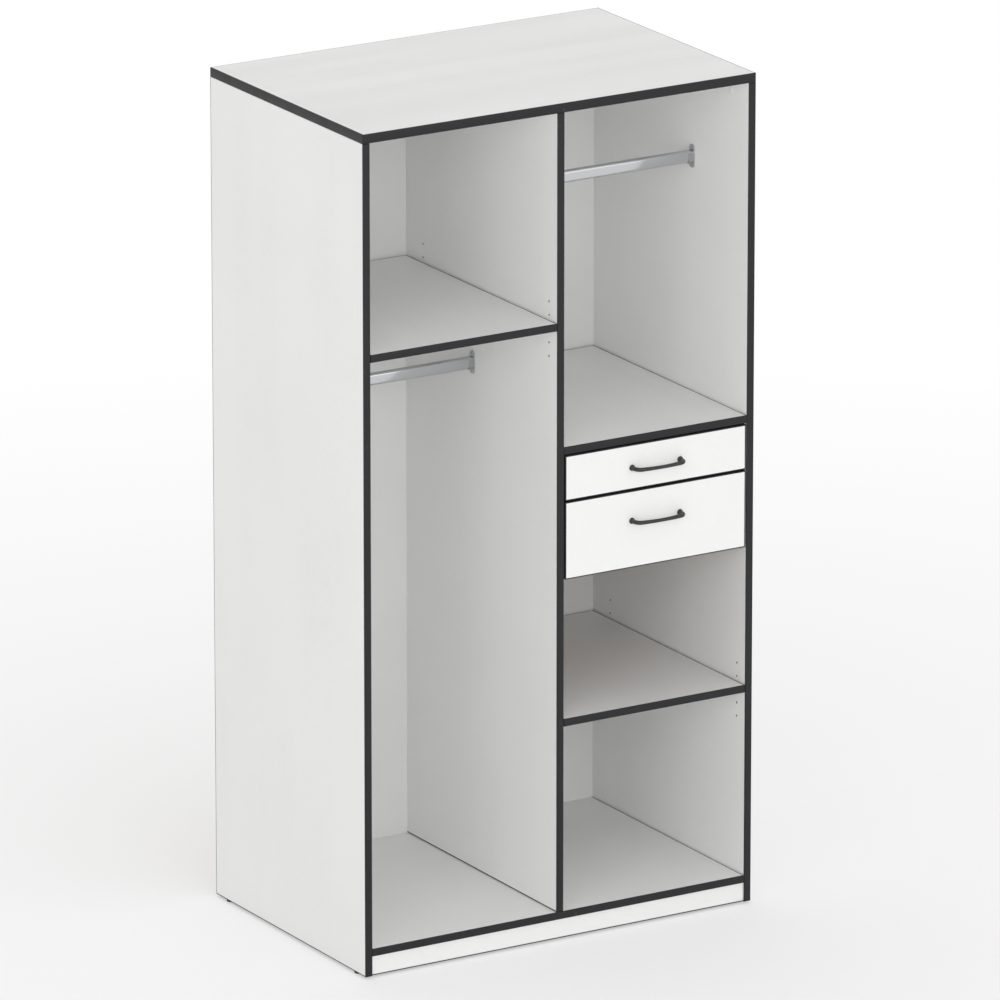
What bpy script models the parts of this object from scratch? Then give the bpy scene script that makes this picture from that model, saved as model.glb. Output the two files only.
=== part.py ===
# Open two-bay wardrobe with hanging rails, shelves and two drawers on roller runners.
# Metres. X runs to the right, the front faces -Y, Z is up. The origin is on the floor
# below the middle of the carcass, where the centre foot stands.

import math

import bmesh
import bpy
from mathutils import Matrix, Vector

# Overall sizes
WIDTH = 1.030
DEPTH = 0.680
HEIGHT = 1.980

# Gap that faces resting on each other keep, how far a cutter runs past a face, and
# how near two points of a turned shape lie when they are one
FIT = 0.0003
OVERRUN = 0.002
MERGE = 0.00001

# Boards
BOARD = 0.018
TOP_BOARD = 0.022
EDGE_ROUND = 0.0006
FLOOR_TOP = 0.070
PLINTH_RECESS = 0.005
REAR_PLINTH_INSET = 0.040

# Back panels and their grooves
BACK = 0.003
BACK_INSET = 0.012
GROOVE_DEPTH = 0.006

# Shelves, by their upper face: the left one goes with the top, the others with the floor
LEFT_SHELF_DROP = 0.489
DRAWER_SHELF_TOP = 1.176
LOWER_SHELF_TOP = 0.531
SHELF_SIDE_GAP = 0.001
SHELF_REAR_GAP = 0.002

# Shelf pins and the rows of bores for them
PIN_RADIUS = 0.0025
PIN_IN_BORE = 0.0080
PIN_COLLAR_RADIUS = 0.0045
PIN_COLLAR = 0.0012
PIN_TONGUE_RADIUS = 0.0040
PIN_TONGUE = 0.0090
PIN_FLAT = 0.0018
BORE_DEPTH = 0.0100
BORE_PITCH = 0.032
BORES_EACH_WAY = 2
FRONT_BORE_INSET = 0.037
REAR_BORE_INSET = 0.090

# Hanging rails and their sockets: the left rail goes with its shelf, the right with the top,
# and both are set back from the front edges
LEFT_RAIL_SETBACK = 0.370
RIGHT_RAIL_SETBACK = 0.240
LEFT_RAIL_DROP = 0.182
RIGHT_RAIL_DROP = 0.2255
RAIL_TALL = 0.030
RAIL_THICK = 0.015
RAIL_WALL = 0.0012
SOCKET_TALL = 0.056
SOCKET_THICK = 0.022
SOCKET_PLATE = 0.0025
SOCKET_RIM = 0.0020
SOCKET_REACH = 0.012
SOCKET_SCREW_RADIUS = 0.0022
SOCKET_SCREW_INSET = 0.0055

# Drawers, from the top one down
DRAWER_GAP = 0.003
DRAWER_TRAVEL = 0.400
BOX_LENGTH = 0.550
BOX_BOARD = 0.012
BOX_LIFT = 0.015
BOX_BASE = 0.003
BOX_BASE_LIFT = 0.010
BOX_GROOVE = 0.005
UPPER_FRONT = 0.1065
UPPER_BOX = 0.074
UPPER_HANDLE_DROP = 0.055
LOWER_FRONT = 0.183
LOWER_BOX = 0.140
LOWER_HANDLE_DROP = 0.071

# Bow handles
HANDLE_CENTRES = 0.128
HANDLE_RADIUS = 0.0050
HANDLE_REACH = 0.030
HANDLE_BEND = 0.016
HANDLE_BOW = 0.004
FOOT_FLARE_SHARE = 1.45
MIDDLE_GIRTH_SHARE = 0.84

# Roller runners: steel members, sections measured from the board that carries them
RUNNER_SPACE = 0.0125
STEEL = 0.0012
BEND = 0.0012
CHANNEL_WIDTH = 0.0098
CHANNEL_LIP = 0.0030
CHANNEL_DROP = 0.0040
CHANNEL_SETBACK = 0.004
SEAT_FLANGE = 0.010
RIDING_FLANGE = 0.0090
FLANGE_CLEAR = 0.0010
RUNNER_END = 0.014
HEAD_ROOM_CUT = 0.030
STOP_DEPTH = 0.004
RUNNER_SCREW_RADIUS = 0.0022
RUNNER_SCREWS = 3
RUNNER_SCREW_INSET = 0.060

# Rollers and their rivets
ROLLER_RADIUS = 0.0095
ROLLER_WIDTH = 0.0060
ROLLER_CHAMFER = 0.0008
ROLLER_SINK = 0.0019
ROLLER_SINK_RADIUS = 0.0042
ROLLER_GROOVE = 0.0012
RIVET_RADIUS = 0.0020
RIVET_HEAD_RADIUS = 0.0036
RIVET_HEAD = 0.0010
RIVET_SHOULDER_RADIUS = 0.0034
RUNNING_FIT = 0.00008

# What stands on the floor
GLIDE_HEIGHT = 0.005
GLIDE_RADIUS = 0.0085
GLIDE_NAIL_RADIUS = 0.0013
GLIDE_NAIL = 0.014
GLIDE_CHAMFER = 0.00125
GLIDE_INSET = 0.050
FOOT_RADIUS = 0.025
FOOT_BASE = 0.007
FOOT_STEM_RADIUS = 0.008
FOOT_PLATE_RADIUS = 0.030
FOOT_PLATE = 0.004

# Facets
BORE_SIDES = 12
ROLLER_SIDES = 20
TURNED_SIDES = 16
OVAL_SIDES = 16
BEND_STEPS = 2
HANDLE_BEND_STEPS = 4
HANDLE_BOW_STEPS = 6
HANDLE_RESOLUTION = 4

# Places worked out from the sizes
FRONT = -DEPTH / 2
REAR = DEPTH / 2
SIDE_FACE = WIDTH / 2 - BOARD
CENTRE_FACE = BOARD / 2
TOP_UNDERSIDE = HEIGHT - TOP_BOARD
LEFT_SHELF_TOP = TOP_UNDERSIDE - LEFT_SHELF_DROP
LEFT_RAIL_PLACE = (FRONT + LEFT_RAIL_SETBACK, LEFT_SHELF_TOP - LEFT_RAIL_DROP)
RIGHT_RAIL_PLACE = (FRONT + RIGHT_RAIL_SETBACK, TOP_UNDERSIDE - RIGHT_RAIL_DROP)
FLOOR_UNDERSIDE = FLOOR_TOP - BOARD
BACK_Y = REAR - BACK_INSET
BACK_FACE = BACK_Y - BACK / 2
SHELF_REAR = BACK_FACE - SHELF_REAR_GAP
RUNNER_START = FRONT + BOARD + CHANNEL_SETBACK
BOX_START = FRONT + BOARD + FIT
BOX_END = BOX_START + BOX_LENGTH

# Heights in a runner, from the lower edge of the drawer side
CHANNEL_LOW = -CHANNEL_DROP
CHANNEL_FLOOR = CHANNEL_LOW + STEEL
CHANNEL_CEILING = CHANNEL_FLOOR + 2 * (ROLLER_RADIUS + FIT)
CHANNEL_HIGH = CHANNEL_CEILING + STEEL
REAR_AXLE = CHANNEL_FLOOR + FIT + ROLLER_RADIUS
FRONT_AXLE = CHANNEL_HIGH + FLANGE_CLEAR - ROLLER_RADIUS
FLANGE_UNDERSIDE = FRONT_AXLE + ROLLER_RADIUS + FIT

# Where the rollers of a runner stand along it, and across it from the carcass board
FRONT_AXLE_Y = RUNNER_START + RUNNER_END
REAR_AXLE_Y = BOX_END - RUNNER_END
ROLLER_NEAR = FIT + STEEL + FIT
ROLLER_FAR = ROLLER_NEAR + ROLLER_WIDTH
MEMBER_OUTSIDE = RUNNER_SPACE - FIT
MEMBER_INSIDE = MEMBER_OUTSIDE - STEEL

LEFT_BAY = (-SIDE_FACE, -CENTRE_FACE)
RIGHT_BAY = (CENTRE_FACE, SIDE_FACE)
DRAWERS = (
    ("upper", UPPER_FRONT, UPPER_BOX, UPPER_HANDLE_DROP),
    ("lower", LOWER_FRONT, LOWER_BOX, LOWER_HANDLE_DROP),
)

WHITE = ("white_board", (0.86, 0.86, 0.85), 0.45, 0.0)
BACK_WHITE = ("white_back", (0.82, 0.82, 0.80), 0.60, 0.0)
CHROME = ("chromed_tube", (0.75, 0.76, 0.78), 0.15, 1.0)
ZINC = ("zinc_casting", (0.60, 0.61, 0.63), 0.30, 1.0)
NICKEL = ("nickel_pin", (0.66, 0.65, 0.62), 0.25, 1.0)
COATED = ("coated_steel", (0.88, 0.88, 0.87), 0.40, 0.0)
NYLON = ("nylon", (0.78, 0.78, 0.76), 0.50, 0.0)
DARK = ("dark_handle", (0.03, 0.03, 0.035), 0.35, 0.0)
PLASTIC = ("black_plastic", (0.04, 0.04, 0.04), 0.55, 0.0)


def clear_scene():
    for thing in list(bpy.data.objects):
        bpy.data.objects.remove(thing, do_unlink=True)


def make_collection(name):
    collection = bpy.data.collections.new(name)
    bpy.context.scene.collection.children.link(collection)
    return collection


def make_material(finish):
    name, colour, roughness, metallic = finish
    found = bpy.data.materials.get(name)
    if found:
        return found
    material = bpy.data.materials.new(name)
    material.use_nodes = True
    shader = material.node_tree.nodes["Principled BSDF"]
    shader.inputs["Base Color"].default_value = (*colour, 1)
    shader.inputs["Roughness"].default_value = roughness
    shader.inputs["Metallic"].default_value = metallic
    return material


def add_object(name, data, place, finish, parent=None):
    obj = bpy.data.objects.new(name, data)
    parts.objects.link(obj)
    obj.location = place
    if parent:
        obj.parent = parent
        obj.location = Vector(place) - parent.location
    data.materials.append(make_material(finish))
    return obj


def add_cutter(name, bm):
    mesh = bpy.data.meshes.new(name)
    bm.to_mesh(mesh)
    bm.free()
    obj = bpy.data.objects.new(name, mesh)
    cutters.objects.link(obj)
    obj.hide_render = True
    obj.display_type = "WIRE"
    return obj


def combine(obj, tool, operation):
    modifier = obj.modifiers.new(tool.name, "BOOLEAN")
    modifier.operation = operation
    modifier.object = tool


def add_box(bm, low, high):
    low = Vector(low)
    high = Vector(high)
    place = Matrix.LocRotScale((low + high) / 2, None, high - low)
    bmesh.ops.create_cube(bm, size=1, matrix=place)


def add_rod(bm, start, end, radius):
    start = Vector(start)
    run = Vector(end) - start
    turn = run.to_track_quat("Z", "Y").to_matrix().to_4x4()
    place = Matrix.Translation(start + run / 2) @ turn
    bmesh.ops.create_cone(
        bm, cap_ends=True, segments=BORE_SIDES, radius1=radius, radius2=radius,
        depth=run.length, matrix=place,
    )


def board(name, low, high, finish=WHITE, parent=None, rounding=EDGE_ROUND):
    low = Vector(low)
    high = Vector(high)
    middle = (low + high) / 2
    bm = bmesh.new()
    add_box(bm, low - middle, high - middle)
    mesh = bpy.data.meshes.new(name)
    bm.to_mesh(mesh)
    bm.free()
    obj = add_object(name, mesh, middle, finish, parent)
    if rounding:
        bevel = obj.modifiers.new("edges", "BEVEL")
        bevel.width = rounding
        bevel.segments = 1
    return obj


def turned(name, profile, place, direction, sides, finish=None, parent=None):
    # A profile of (radius, height) pairs, top to bottom down its outer side
    closed = profile[0][0] > 0
    bm = bmesh.new()
    points = [bm.verts.new((radius, 0, height)) for radius, height in profile]
    for first, second in zip(points, points[1:]):
        bm.edges.new((first, second))
    if closed:
        bm.edges.new((points[-1], points[0]))
    if finish:
        mesh = bpy.data.meshes.new(name)
        bm.to_mesh(mesh)
        bm.free()
        obj = add_object(name, mesh, place, finish, parent)
    else:
        obj = add_cutter(name, bm)
        obj.location = place
    obj.rotation_euler = Vector(direction).to_track_quat("Z", "Y").to_euler()
    screw = obj.modifiers.new("turning", "SCREW")
    screw.axis = "Z"
    screw.angle = math.tau
    screw.steps = sides
    screw.render_steps = sides
    screw.use_merge_vertices = True
    screw.merge_threshold = MERGE
    screw.use_smooth_shade = True
    return obj


def oval_edge(bm, thick, tall, capped):
    # A circle whose upper and lower halves are drawn apart, in the YZ plane
    upright = Matrix.Rotation(math.pi / 2, 4, "Y")
    bmesh.ops.create_circle(
        bm, cap_ends=capped, segments=OVAL_SIDES, radius=thick / 2, matrix=upright,
    )
    corner = math.pi / OVAL_SIDES
    for vert in bm.verts:
        vert.co = Matrix.Rotation(corner, 3, "X") @ vert.co
        vert.co.z += math.copysign((tall - thick) / 2, vert.co.z)


def oval_block(bm, thick, tall, start, length):
    piece = bmesh.new()
    oval_edge(piece, thick, tall, capped=True)
    grown = bmesh.ops.extrude_face_region(piece, geom=piece.faces[:])["geom"]
    for item in grown:
        if isinstance(item, bmesh.types.BMVert):
            item.co.x += length
    bmesh.ops.recalc_face_normals(piece, faces=piece.faces[:])
    bmesh.ops.translate(piece, verts=piece.verts[:], vec=start)
    mesh = bpy.data.meshes.new("oval")
    piece.to_mesh(mesh)
    piece.free()
    bm.from_mesh(mesh)
    bpy.data.meshes.remove(mesh)


def bore_heights(shelf_top):
    middle = shelf_top - BOARD - FIT - PIN_FLAT
    return [middle + BORE_PITCH * step for step in range(-BORES_EACH_WAY, BORES_EACH_WAY + 1)]


def bore_columns():
    return (FRONT + FRONT_BORE_INSET, REAR - REAR_BORE_INSET)


def cut_bores(obj, label, face, into, shelf_top):
    bm = bmesh.new()
    for y in bore_columns():
        for z in bore_heights(shelf_top):
            add_rod(bm, (face - into * OVERRUN, y, z), (face + into * BORE_DEPTH, y, z),
                    PIN_RADIUS + FIT)
    combine(obj, add_cutter(f"{obj.name}_{label}", bm), "DIFFERENCE")


def cut_boxes(obj, label, boxes):
    bm = bmesh.new()
    for low, high in boxes:
        add_box(bm, low, high)
    combine(obj, add_cutter(f"{obj.name}_{label}", bm), "DIFFERENCE")


def back_groove(low_x, high_x, low_z, high_z):
    half = BACK / 2 + FIT
    return ((low_x, BACK_Y - half, low_z), (high_x, BACK_Y + half, high_z))


def side_panel(name, side):
    face = side * SIDE_FACE
    outside = side * WIDTH / 2
    panel = board(
        name,
        (min(face, outside), FRONT, GLIDE_HEIGHT + FIT),
        (max(face, outside), REAR, TOP_UNDERSIDE - FIT),
    )
    deep = face + side * GROOVE_DEPTH
    shallow = face - side * OVERRUN
    cut_boxes(panel, "groove", [back_groove(
        min(deep, shallow), max(deep, shallow),
        FLOOR_TOP - GROOVE_DEPTH, TOP_UNDERSIDE + OVERRUN,
    )])
    bm = bmesh.new()
    for y in glide_places():
        x = side * (WIDTH / 2 - BOARD / 2)
        add_rod(bm, (x, y, 0), (x, y, GLIDE_HEIGHT + GLIDE_NAIL + FIT), GLIDE_NAIL_RADIUS + FIT)
    combine(panel, add_cutter(f"{name}_nail_bores", bm), "DIFFERENCE")
    return panel


def carcass():
    left = side_panel("left_side_panel", -1)
    cut_bores(left, "bores", -SIDE_FACE, -1, LEFT_SHELF_TOP)
    right = side_panel("right_side_panel", 1)
    cut_bores(right, "bores", SIDE_FACE, 1, LOWER_SHELF_TOP)

    centre = board(
        "centre_partition",
        (-CENTRE_FACE, FRONT, FLOOR_TOP + FIT),
        (CENTRE_FACE, REAR, TOP_UNDERSIDE - FIT),
    )
    shallow = CENTRE_FACE + OVERRUN
    deep = CENTRE_FACE - GROOVE_DEPTH
    low = FLOOR_TOP - OVERRUN
    high = TOP_UNDERSIDE + OVERRUN
    cut_boxes(centre, "grooves", [
        back_groove(-shallow, -deep, low, high),
        back_groove(deep, shallow, low, high),
    ])
    cut_bores(centre, "left_bores", -CENTRE_FACE, 1, LEFT_SHELF_TOP)
    cut_bores(centre, "right_bores", CENTRE_FACE, -1, LOWER_SHELF_TOP)

    top = board("top_panel", (-WIDTH / 2, FRONT, TOP_UNDERSIDE), (WIDTH / 2, REAR, HEIGHT))
    wide = SIDE_FACE + GROOVE_DEPTH
    cut_boxes(top, "groove", [back_groove(
        -wide, wide, TOP_UNDERSIDE - OVERRUN, TOP_UNDERSIDE + GROOVE_DEPTH,
    )])
    bottom = board(
        "bottom_panel",
        (-SIDE_FACE + FIT, FRONT, FLOOR_UNDERSIDE),
        (SIDE_FACE - FIT, REAR, FLOOR_TOP),
    )
    cut_boxes(bottom, "groove", [back_groove(
        -wide, wide, FLOOR_TOP - GROOVE_DEPTH, FLOOR_TOP + OVERRUN,
    )])

    for name, low_y in (
        ("plinth_front", FRONT + PLINTH_RECESS),
        ("plinth_rear", REAR - REAR_PLINTH_INSET - BOARD),
    ):
        board(
            name,
            (-SIDE_FACE + FIT, low_y, GLIDE_HEIGHT),
            (SIDE_FACE - FIT, low_y + BOARD, FLOOR_UNDERSIDE - FIT),
        )

    reach = GROOVE_DEPTH - FIT
    for name, (low_x, high_x) in (("back_panel_left", LEFT_BAY), ("back_panel_right", RIGHT_BAY)):
        board(
            name,
            (low_x - reach, BACK_Y - BACK / 2, FLOOR_TOP - reach),
            (high_x + reach, BACK_Y + BACK / 2, TOP_UNDERSIDE + reach),
            BACK_WHITE, rounding=0,
        )


def shelf(name, bay, top, gap):
    board(name, (bay[0] + gap, FRONT, top - BOARD), (bay[1] - gap, SHELF_REAR, top))


def shelf_pins(prefix, bay, shelf_top):
    height = shelf_top - BOARD - FIT - PIN_FLAT
    tongue_end = PIN_COLLAR + PIN_TONGUE
    profile = [
        (0, tongue_end),
        (PIN_TONGUE_RADIUS, tongue_end),
        (PIN_TONGUE_RADIUS, PIN_COLLAR),
        (PIN_COLLAR_RADIUS, PIN_COLLAR),
        (PIN_COLLAR_RADIUS, FIT),
        (PIN_RADIUS, FIT),
        (PIN_RADIUS, -PIN_IN_BORE),
        (0, -PIN_IN_BORE),
    ]
    for end, face, inward in (("left", bay[0], 1), ("right", bay[1], -1)):
        for row, y in zip(("front", "rear"), bore_columns()):
            name = f"{prefix}_{row}_{end}"
            pin = turned(name, profile, (face, y, height), (inward, 0, 0), BORE_SIDES, NICKEL)
            near = face
            far = face + inward * (tongue_end + OVERRUN)
            wide = PIN_COLLAR_RADIUS + OVERRUN
            cut_boxes(pin, "flat", [(
                (min(near, far), y - wide, height + PIN_FLAT),
                (max(near, far), y + wide, height + wide),
            )])


def rail(name, bay, place):
    # The oval tube runs from one socket plate to the other; place is its Y and Z
    length = bay[1] - bay[0] - 2 * (SOCKET_PLATE + 2 * FIT)
    bm = bmesh.new()
    oval_edge(bm, RAIL_THICK, RAIL_TALL, capped=False)
    grown = bmesh.ops.extrude_edge_only(bm, edges=bm.edges[:])["geom"]
    for vert in bm.verts:
        vert.co.x = -length / 2
    for item in grown:
        if isinstance(item, bmesh.types.BMVert):
            item.co.x = length / 2
    bmesh.ops.recalc_face_normals(bm, faces=bm.faces[:])
    mesh = bpy.data.meshes.new(name)
    bm.to_mesh(mesh)
    bm.free()
    tube = add_object(name, mesh, ((bay[0] + bay[1]) / 2, *place), CHROME)
    wall = tube.modifiers.new("wall", "SOLIDIFY")
    wall.thickness = RAIL_WALL
    wall.offset = -1
    wall.use_even_offset = True

    for end, face, inward in (("left", bay[0], 1), ("right", bay[1], -1)):
        socket(f"{name}_socket_{end}", face, inward, place)


def socket(name, face, inward, place):
    # A plate on the board and a cup round the rail, open at the top to drop it in
    cup_thick = RAIL_THICK + 2 * (FIT + SOCKET_RIM)
    cup_tall = RAIL_TALL + 2 * (FIT + SOCKET_RIM)
    plate = bmesh.new()
    oval_block(plate, SOCKET_THICK, SOCKET_TALL, (FIT, 0, 0), SOCKET_PLATE)
    mesh = bpy.data.meshes.new(name)
    plate.to_mesh(mesh)
    plate.free()
    obj = add_object(name, mesh, (face, *place), ZINC)
    turn = 0 if inward > 0 else math.pi
    obj.rotation_euler.z = turn

    cup = bmesh.new()
    oval_block(cup, cup_thick, cup_tall, (SOCKET_PLATE / 2, 0, 0), SOCKET_REACH)
    pocket = bmesh.new()
    start = SOCKET_PLATE + FIT
    oval_block(pocket, RAIL_THICK + 2 * FIT, RAIL_TALL + 2 * FIT, (start, 0, 0), SOCKET_REACH)
    slot = bmesh.new()
    half = RAIL_THICK / 2 + FIT
    add_box(slot, (start, -half, 0), (start + SOCKET_REACH, half, cup_tall))
    screws = bmesh.new()
    reach = SOCKET_TALL / 2 - SOCKET_SCREW_INSET
    for z in (-reach, reach):
        add_rod(screws, (-OVERRUN, 0, z), (SOCKET_PLATE + OVERRUN, 0, z), SOCKET_SCREW_RADIUS)
    for label, shape, operation in (
        ("cup", cup, "UNION"),
        ("pocket", pocket, "DIFFERENCE"),
        ("slot", slot, "DIFFERENCE"),
        ("screws", screws, "DIFFERENCE"),
    ):
        tool = add_cutter(f"{name}_{label}", shape)
        tool.location = obj.location
        tool.rotation_euler.z = turn
        combine(obj, tool, operation)


def handle_points(x, face, z):
    # Feet at the ends, a bend at each side and a slight bow between them
    half = HANDLE_CENTRES / 2
    depth = HANDLE_REACH - HANDLE_BOW
    bends = [math.pi / 2 * step / HANDLE_BEND_STEPS for step in range(HANDLE_BEND_STEPS + 1)]
    side = [(half, 0)]
    for angle in bends:
        side.append((
            half - HANDLE_BEND * (1 - math.cos(angle)),
            depth - HANDLE_BEND * (1 - math.sin(angle)),
        ))
    flat = half - HANDLE_BEND
    for step in range(1, HANDLE_BOW_STEPS // 2 + 1):
        along = flat * (1 - 2 * step / HANDLE_BOW_STEPS)
        side.append((along, depth + HANDLE_BOW * (1 - (along / flat) ** 2)))
    outline = side + [(-along, out) for along, out in reversed(side[:-1])]
    return [(x + along, face - out, z) for along, out in outline]


def handle(name, x, face, z, parent):
    points = handle_points(x, face - FIT, z)
    curve = bpy.data.curves.new(name, "CURVE")
    curve.dimensions = "3D"
    curve.bevel_depth = HANDLE_RADIUS
    curve.bevel_resolution = HANDLE_RESOLUTION
    curve.use_fill_caps = True
    spline = curve.splines.new("POLY")
    spline.points.add(len(points) - 1)
    middle = (len(points) - 1) / 2
    for index, (place, point) in enumerate(zip(points, spline.points)):
        point.co = (*(Vector(place) - Vector((x, face, z))), 1)
        to_end = abs(index - middle) / middle
        point.radius = MIDDLE_GIRTH_SHARE + (1 - MIDDLE_GIRTH_SHARE) * to_end
    spline.points[0].radius = FOOT_FLARE_SHARE
    spline.points[-1].radius = FOOT_FLARE_SHARE
    add_object(name, curve, (x, face, z), DARK, parent)


def section(name, points, start, length, place, inward, finish, parent=None):
    # A bent sheet: an open section of (across, up) points, drawn out along Y
    if inward < 0:
        points = points[::-1]
    bm = bmesh.new()
    row = [bm.verts.new((inward * across, start, up)) for across, up in points]
    edges = [bm.edges.new(pair) for pair in zip(row, row[1:])]
    grown = bmesh.ops.extrude_edge_only(bm, edges=edges)["geom"]
    for item in grown:
        if isinstance(item, bmesh.types.BMVert):
            item.co.y += length
    bends = [
        edge for edge in bm.edges
        if len(edge.link_faces) == 2
    ]
    bmesh.ops.bevel(
        bm, geom=bends, offset=BEND, offset_type="OFFSET", segments=BEND_STEPS,
        affect="EDGES", profile=0.5, material=-1,
    )
    mesh = bpy.data.meshes.new(name)
    bm.to_mesh(mesh)
    bm.free()
    obj = add_object(name, mesh, place, finish, parent)
    sheet = obj.modifiers.new("sheet", "SOLIDIFY")
    sheet.thickness = STEEL
    sheet.offset = -1
    sheet.use_even_offset = True
    return obj


def screw_bores(obj, face, inward, near, far, length, start, height):
    bm = bmesh.new()
    run = length - 2 * RUNNER_SCREW_INSET
    for index in range(RUNNER_SCREWS):
        y = start + RUNNER_SCREW_INSET + run * index / (RUNNER_SCREWS - 1)
        add_rod(
            bm,
            (face + inward * (near - OVERRUN), y, height),
            (face + inward * (far + OVERRUN), y, height),
            RUNNER_SCREW_RADIUS,
        )
    combine(obj, add_cutter(f"{obj.name}_screws", bm), "DIFFERENCE")


def rivet(obj, place, direction, roller_start):
    # The rivet runs from inside the sheet, past a shoulder, to a head sunk in the roller
    root = FIT + STEEL / 2
    shoulder_end = roller_start - FIT
    head_start = roller_start + ROLLER_WIDTH - ROLLER_SINK + FIT
    profile = [
        (0, head_start + RIVET_HEAD),
        (RIVET_HEAD_RADIUS, head_start + RIVET_HEAD),
        (RIVET_HEAD_RADIUS, head_start),
        (RIVET_RADIUS, head_start),
        (RIVET_RADIUS, shoulder_end),
        (RIVET_SHOULDER_RADIUS, shoulder_end),
        (RIVET_SHOULDER_RADIUS, root),
        (0, root),
    ]
    if shoulder_end < STEEL + 2 * FIT:
        profile = profile[:4] + [(RIVET_RADIUS, root), (0, root)]
    tool = turned(f"{obj.name}_rivet", profile, place, direction, BORE_SIDES)
    combine(obj, tool, "UNION")


def roller(name, place, direction, parent):
    # The plain side is at the origin, and the sunk side faces along direction
    bore = (RIVET_RADIUS + RUNNING_FIT) / math.cos(math.pi / ROLLER_SIDES)
    groove = (ROLLER_SINK_RADIUS + ROLLER_RADIUS) / 2
    rim = ROLLER_RADIUS - ROLLER_CHAMFER
    profile = [
        (rim, ROLLER_WIDTH),
        (ROLLER_RADIUS, ROLLER_WIDTH - ROLLER_CHAMFER),
        (ROLLER_RADIUS, ROLLER_CHAMFER),
        (rim, 0),
        (bore, 0),
        (bore, ROLLER_WIDTH - ROLLER_SINK),
        (ROLLER_SINK_RADIUS, ROLLER_WIDTH - ROLLER_SINK),
        (ROLLER_SINK_RADIUS, ROLLER_WIDTH),
        (groove, ROLLER_WIDTH - ROLLER_GROOVE),
    ]
    turned(name, profile, place, direction, ROLLER_SIDES, NYLON, parent)


def runner(drawer, side, edge, slide):
    # side is -1 at the partition and 1 at the side panel; edge is the drawer side's lower edge
    face = CENTRE_FACE if side < 0 else SIDE_FACE
    inward = -side
    hand = "left" if side < 0 else "right"
    carcass_name = f"{drawer}_carcass_runner_{hand}"
    drawer_name = f"{drawer}_drawer_runner_{hand}"
    stop_edge = CHANNEL_CEILING - STOP_DEPTH
    axle_to_edge = stop_edge - REAR_AXLE
    stop_reach = math.sqrt(ROLLER_RADIUS ** 2 - axle_to_edge ** 2) + FIT

    channel_end = REAR_AXLE_Y + stop_reach + STEEL
    channel = section(
        carcass_name,
        [
            (CHANNEL_WIDTH, CHANNEL_HIGH - CHANNEL_LIP),
            (CHANNEL_WIDTH, CHANNEL_HIGH),
            (FIT, CHANNEL_HIGH),
            (FIT, CHANNEL_LOW),
            (CHANNEL_WIDTH, CHANNEL_LOW),
            (CHANNEL_WIDTH, CHANNEL_LOW + CHANNEL_LIP),
        ],
        RUNNER_START, channel_end - RUNNER_START, (face, 0, edge), inward, COATED,
    )
    near = face + inward * (FIT + STEEL)
    far = face + inward * (CHANNEL_WIDTH + OVERRUN)
    cut_boxes(channel, "roller_room", [(
        (min(near, far), RUNNER_START - OVERRUN, edge + CHANNEL_HIGH - CHANNEL_LIP - OVERRUN),
        (max(near, far), RUNNER_START + HEAD_ROOM_CUT, edge + CHANNEL_HIGH + OVERRUN),
    )])
    screw_bores(
        channel, face, inward, 0, STEEL, channel_end - RUNNER_START, RUNNER_START,
        edge + (CHANNEL_LOW + CHANNEL_HIGH) / 2,
    )
    stops = bmesh.new()
    for y in (REAR_AXLE_Y - DRAWER_TRAVEL - stop_reach - STEEL, REAR_AXLE_Y + stop_reach):
        low_x = face + inward * (FIT + STEEL / 2)
        high_x = face + inward * (CHANNEL_WIDTH - STEEL / 2)
        add_box(
            stops,
            (min(low_x, high_x), y, edge + stop_edge),
            (max(low_x, high_x), y + STEEL, edge + CHANNEL_HIGH - STEEL / 2),
        )
    combine(channel, add_cutter(f"{carcass_name}_stops", stops), "UNION")
    across = Vector((inward, 0, 0))
    front_axle = Vector((face, FRONT_AXLE_Y, edge + FRONT_AXLE))
    rivet(channel, front_axle, across, ROLLER_NEAR)
    roller(f"{drawer}_front_roller_{hand}", front_axle + across * ROLLER_NEAR, across, None)

    member = section(
        drawer_name,
        [
            (RUNNER_SPACE + SEAT_FLANGE, -FIT),
            (MEMBER_OUTSIDE, -FIT),
            (MEMBER_OUTSIDE, FLANGE_UNDERSIDE + STEEL),
            (MEMBER_INSIDE - RIDING_FLANGE, FLANGE_UNDERSIDE + STEEL),
        ],
        BOX_START, BOX_LENGTH, (face, 0, edge), inward, COATED, slide,
    )
    screw_bores(
        member, face, inward, MEMBER_INSIDE, MEMBER_OUTSIDE, BOX_LENGTH, BOX_START,
        edge + (FLANGE_UNDERSIDE + REAR_AXLE) / 2,
    )
    rear_axle = Vector((face + inward * RUNNER_SPACE, REAR_AXLE_Y, edge + REAR_AXLE))
    rivet(member, rear_axle, -across, RUNNER_SPACE - ROLLER_FAR)
    rear_place = rear_axle - across * (RUNNER_SPACE - ROLLER_FAR)
    roller(f"{drawer}_rear_roller_{hand}", rear_place, -across, slide)


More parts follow.
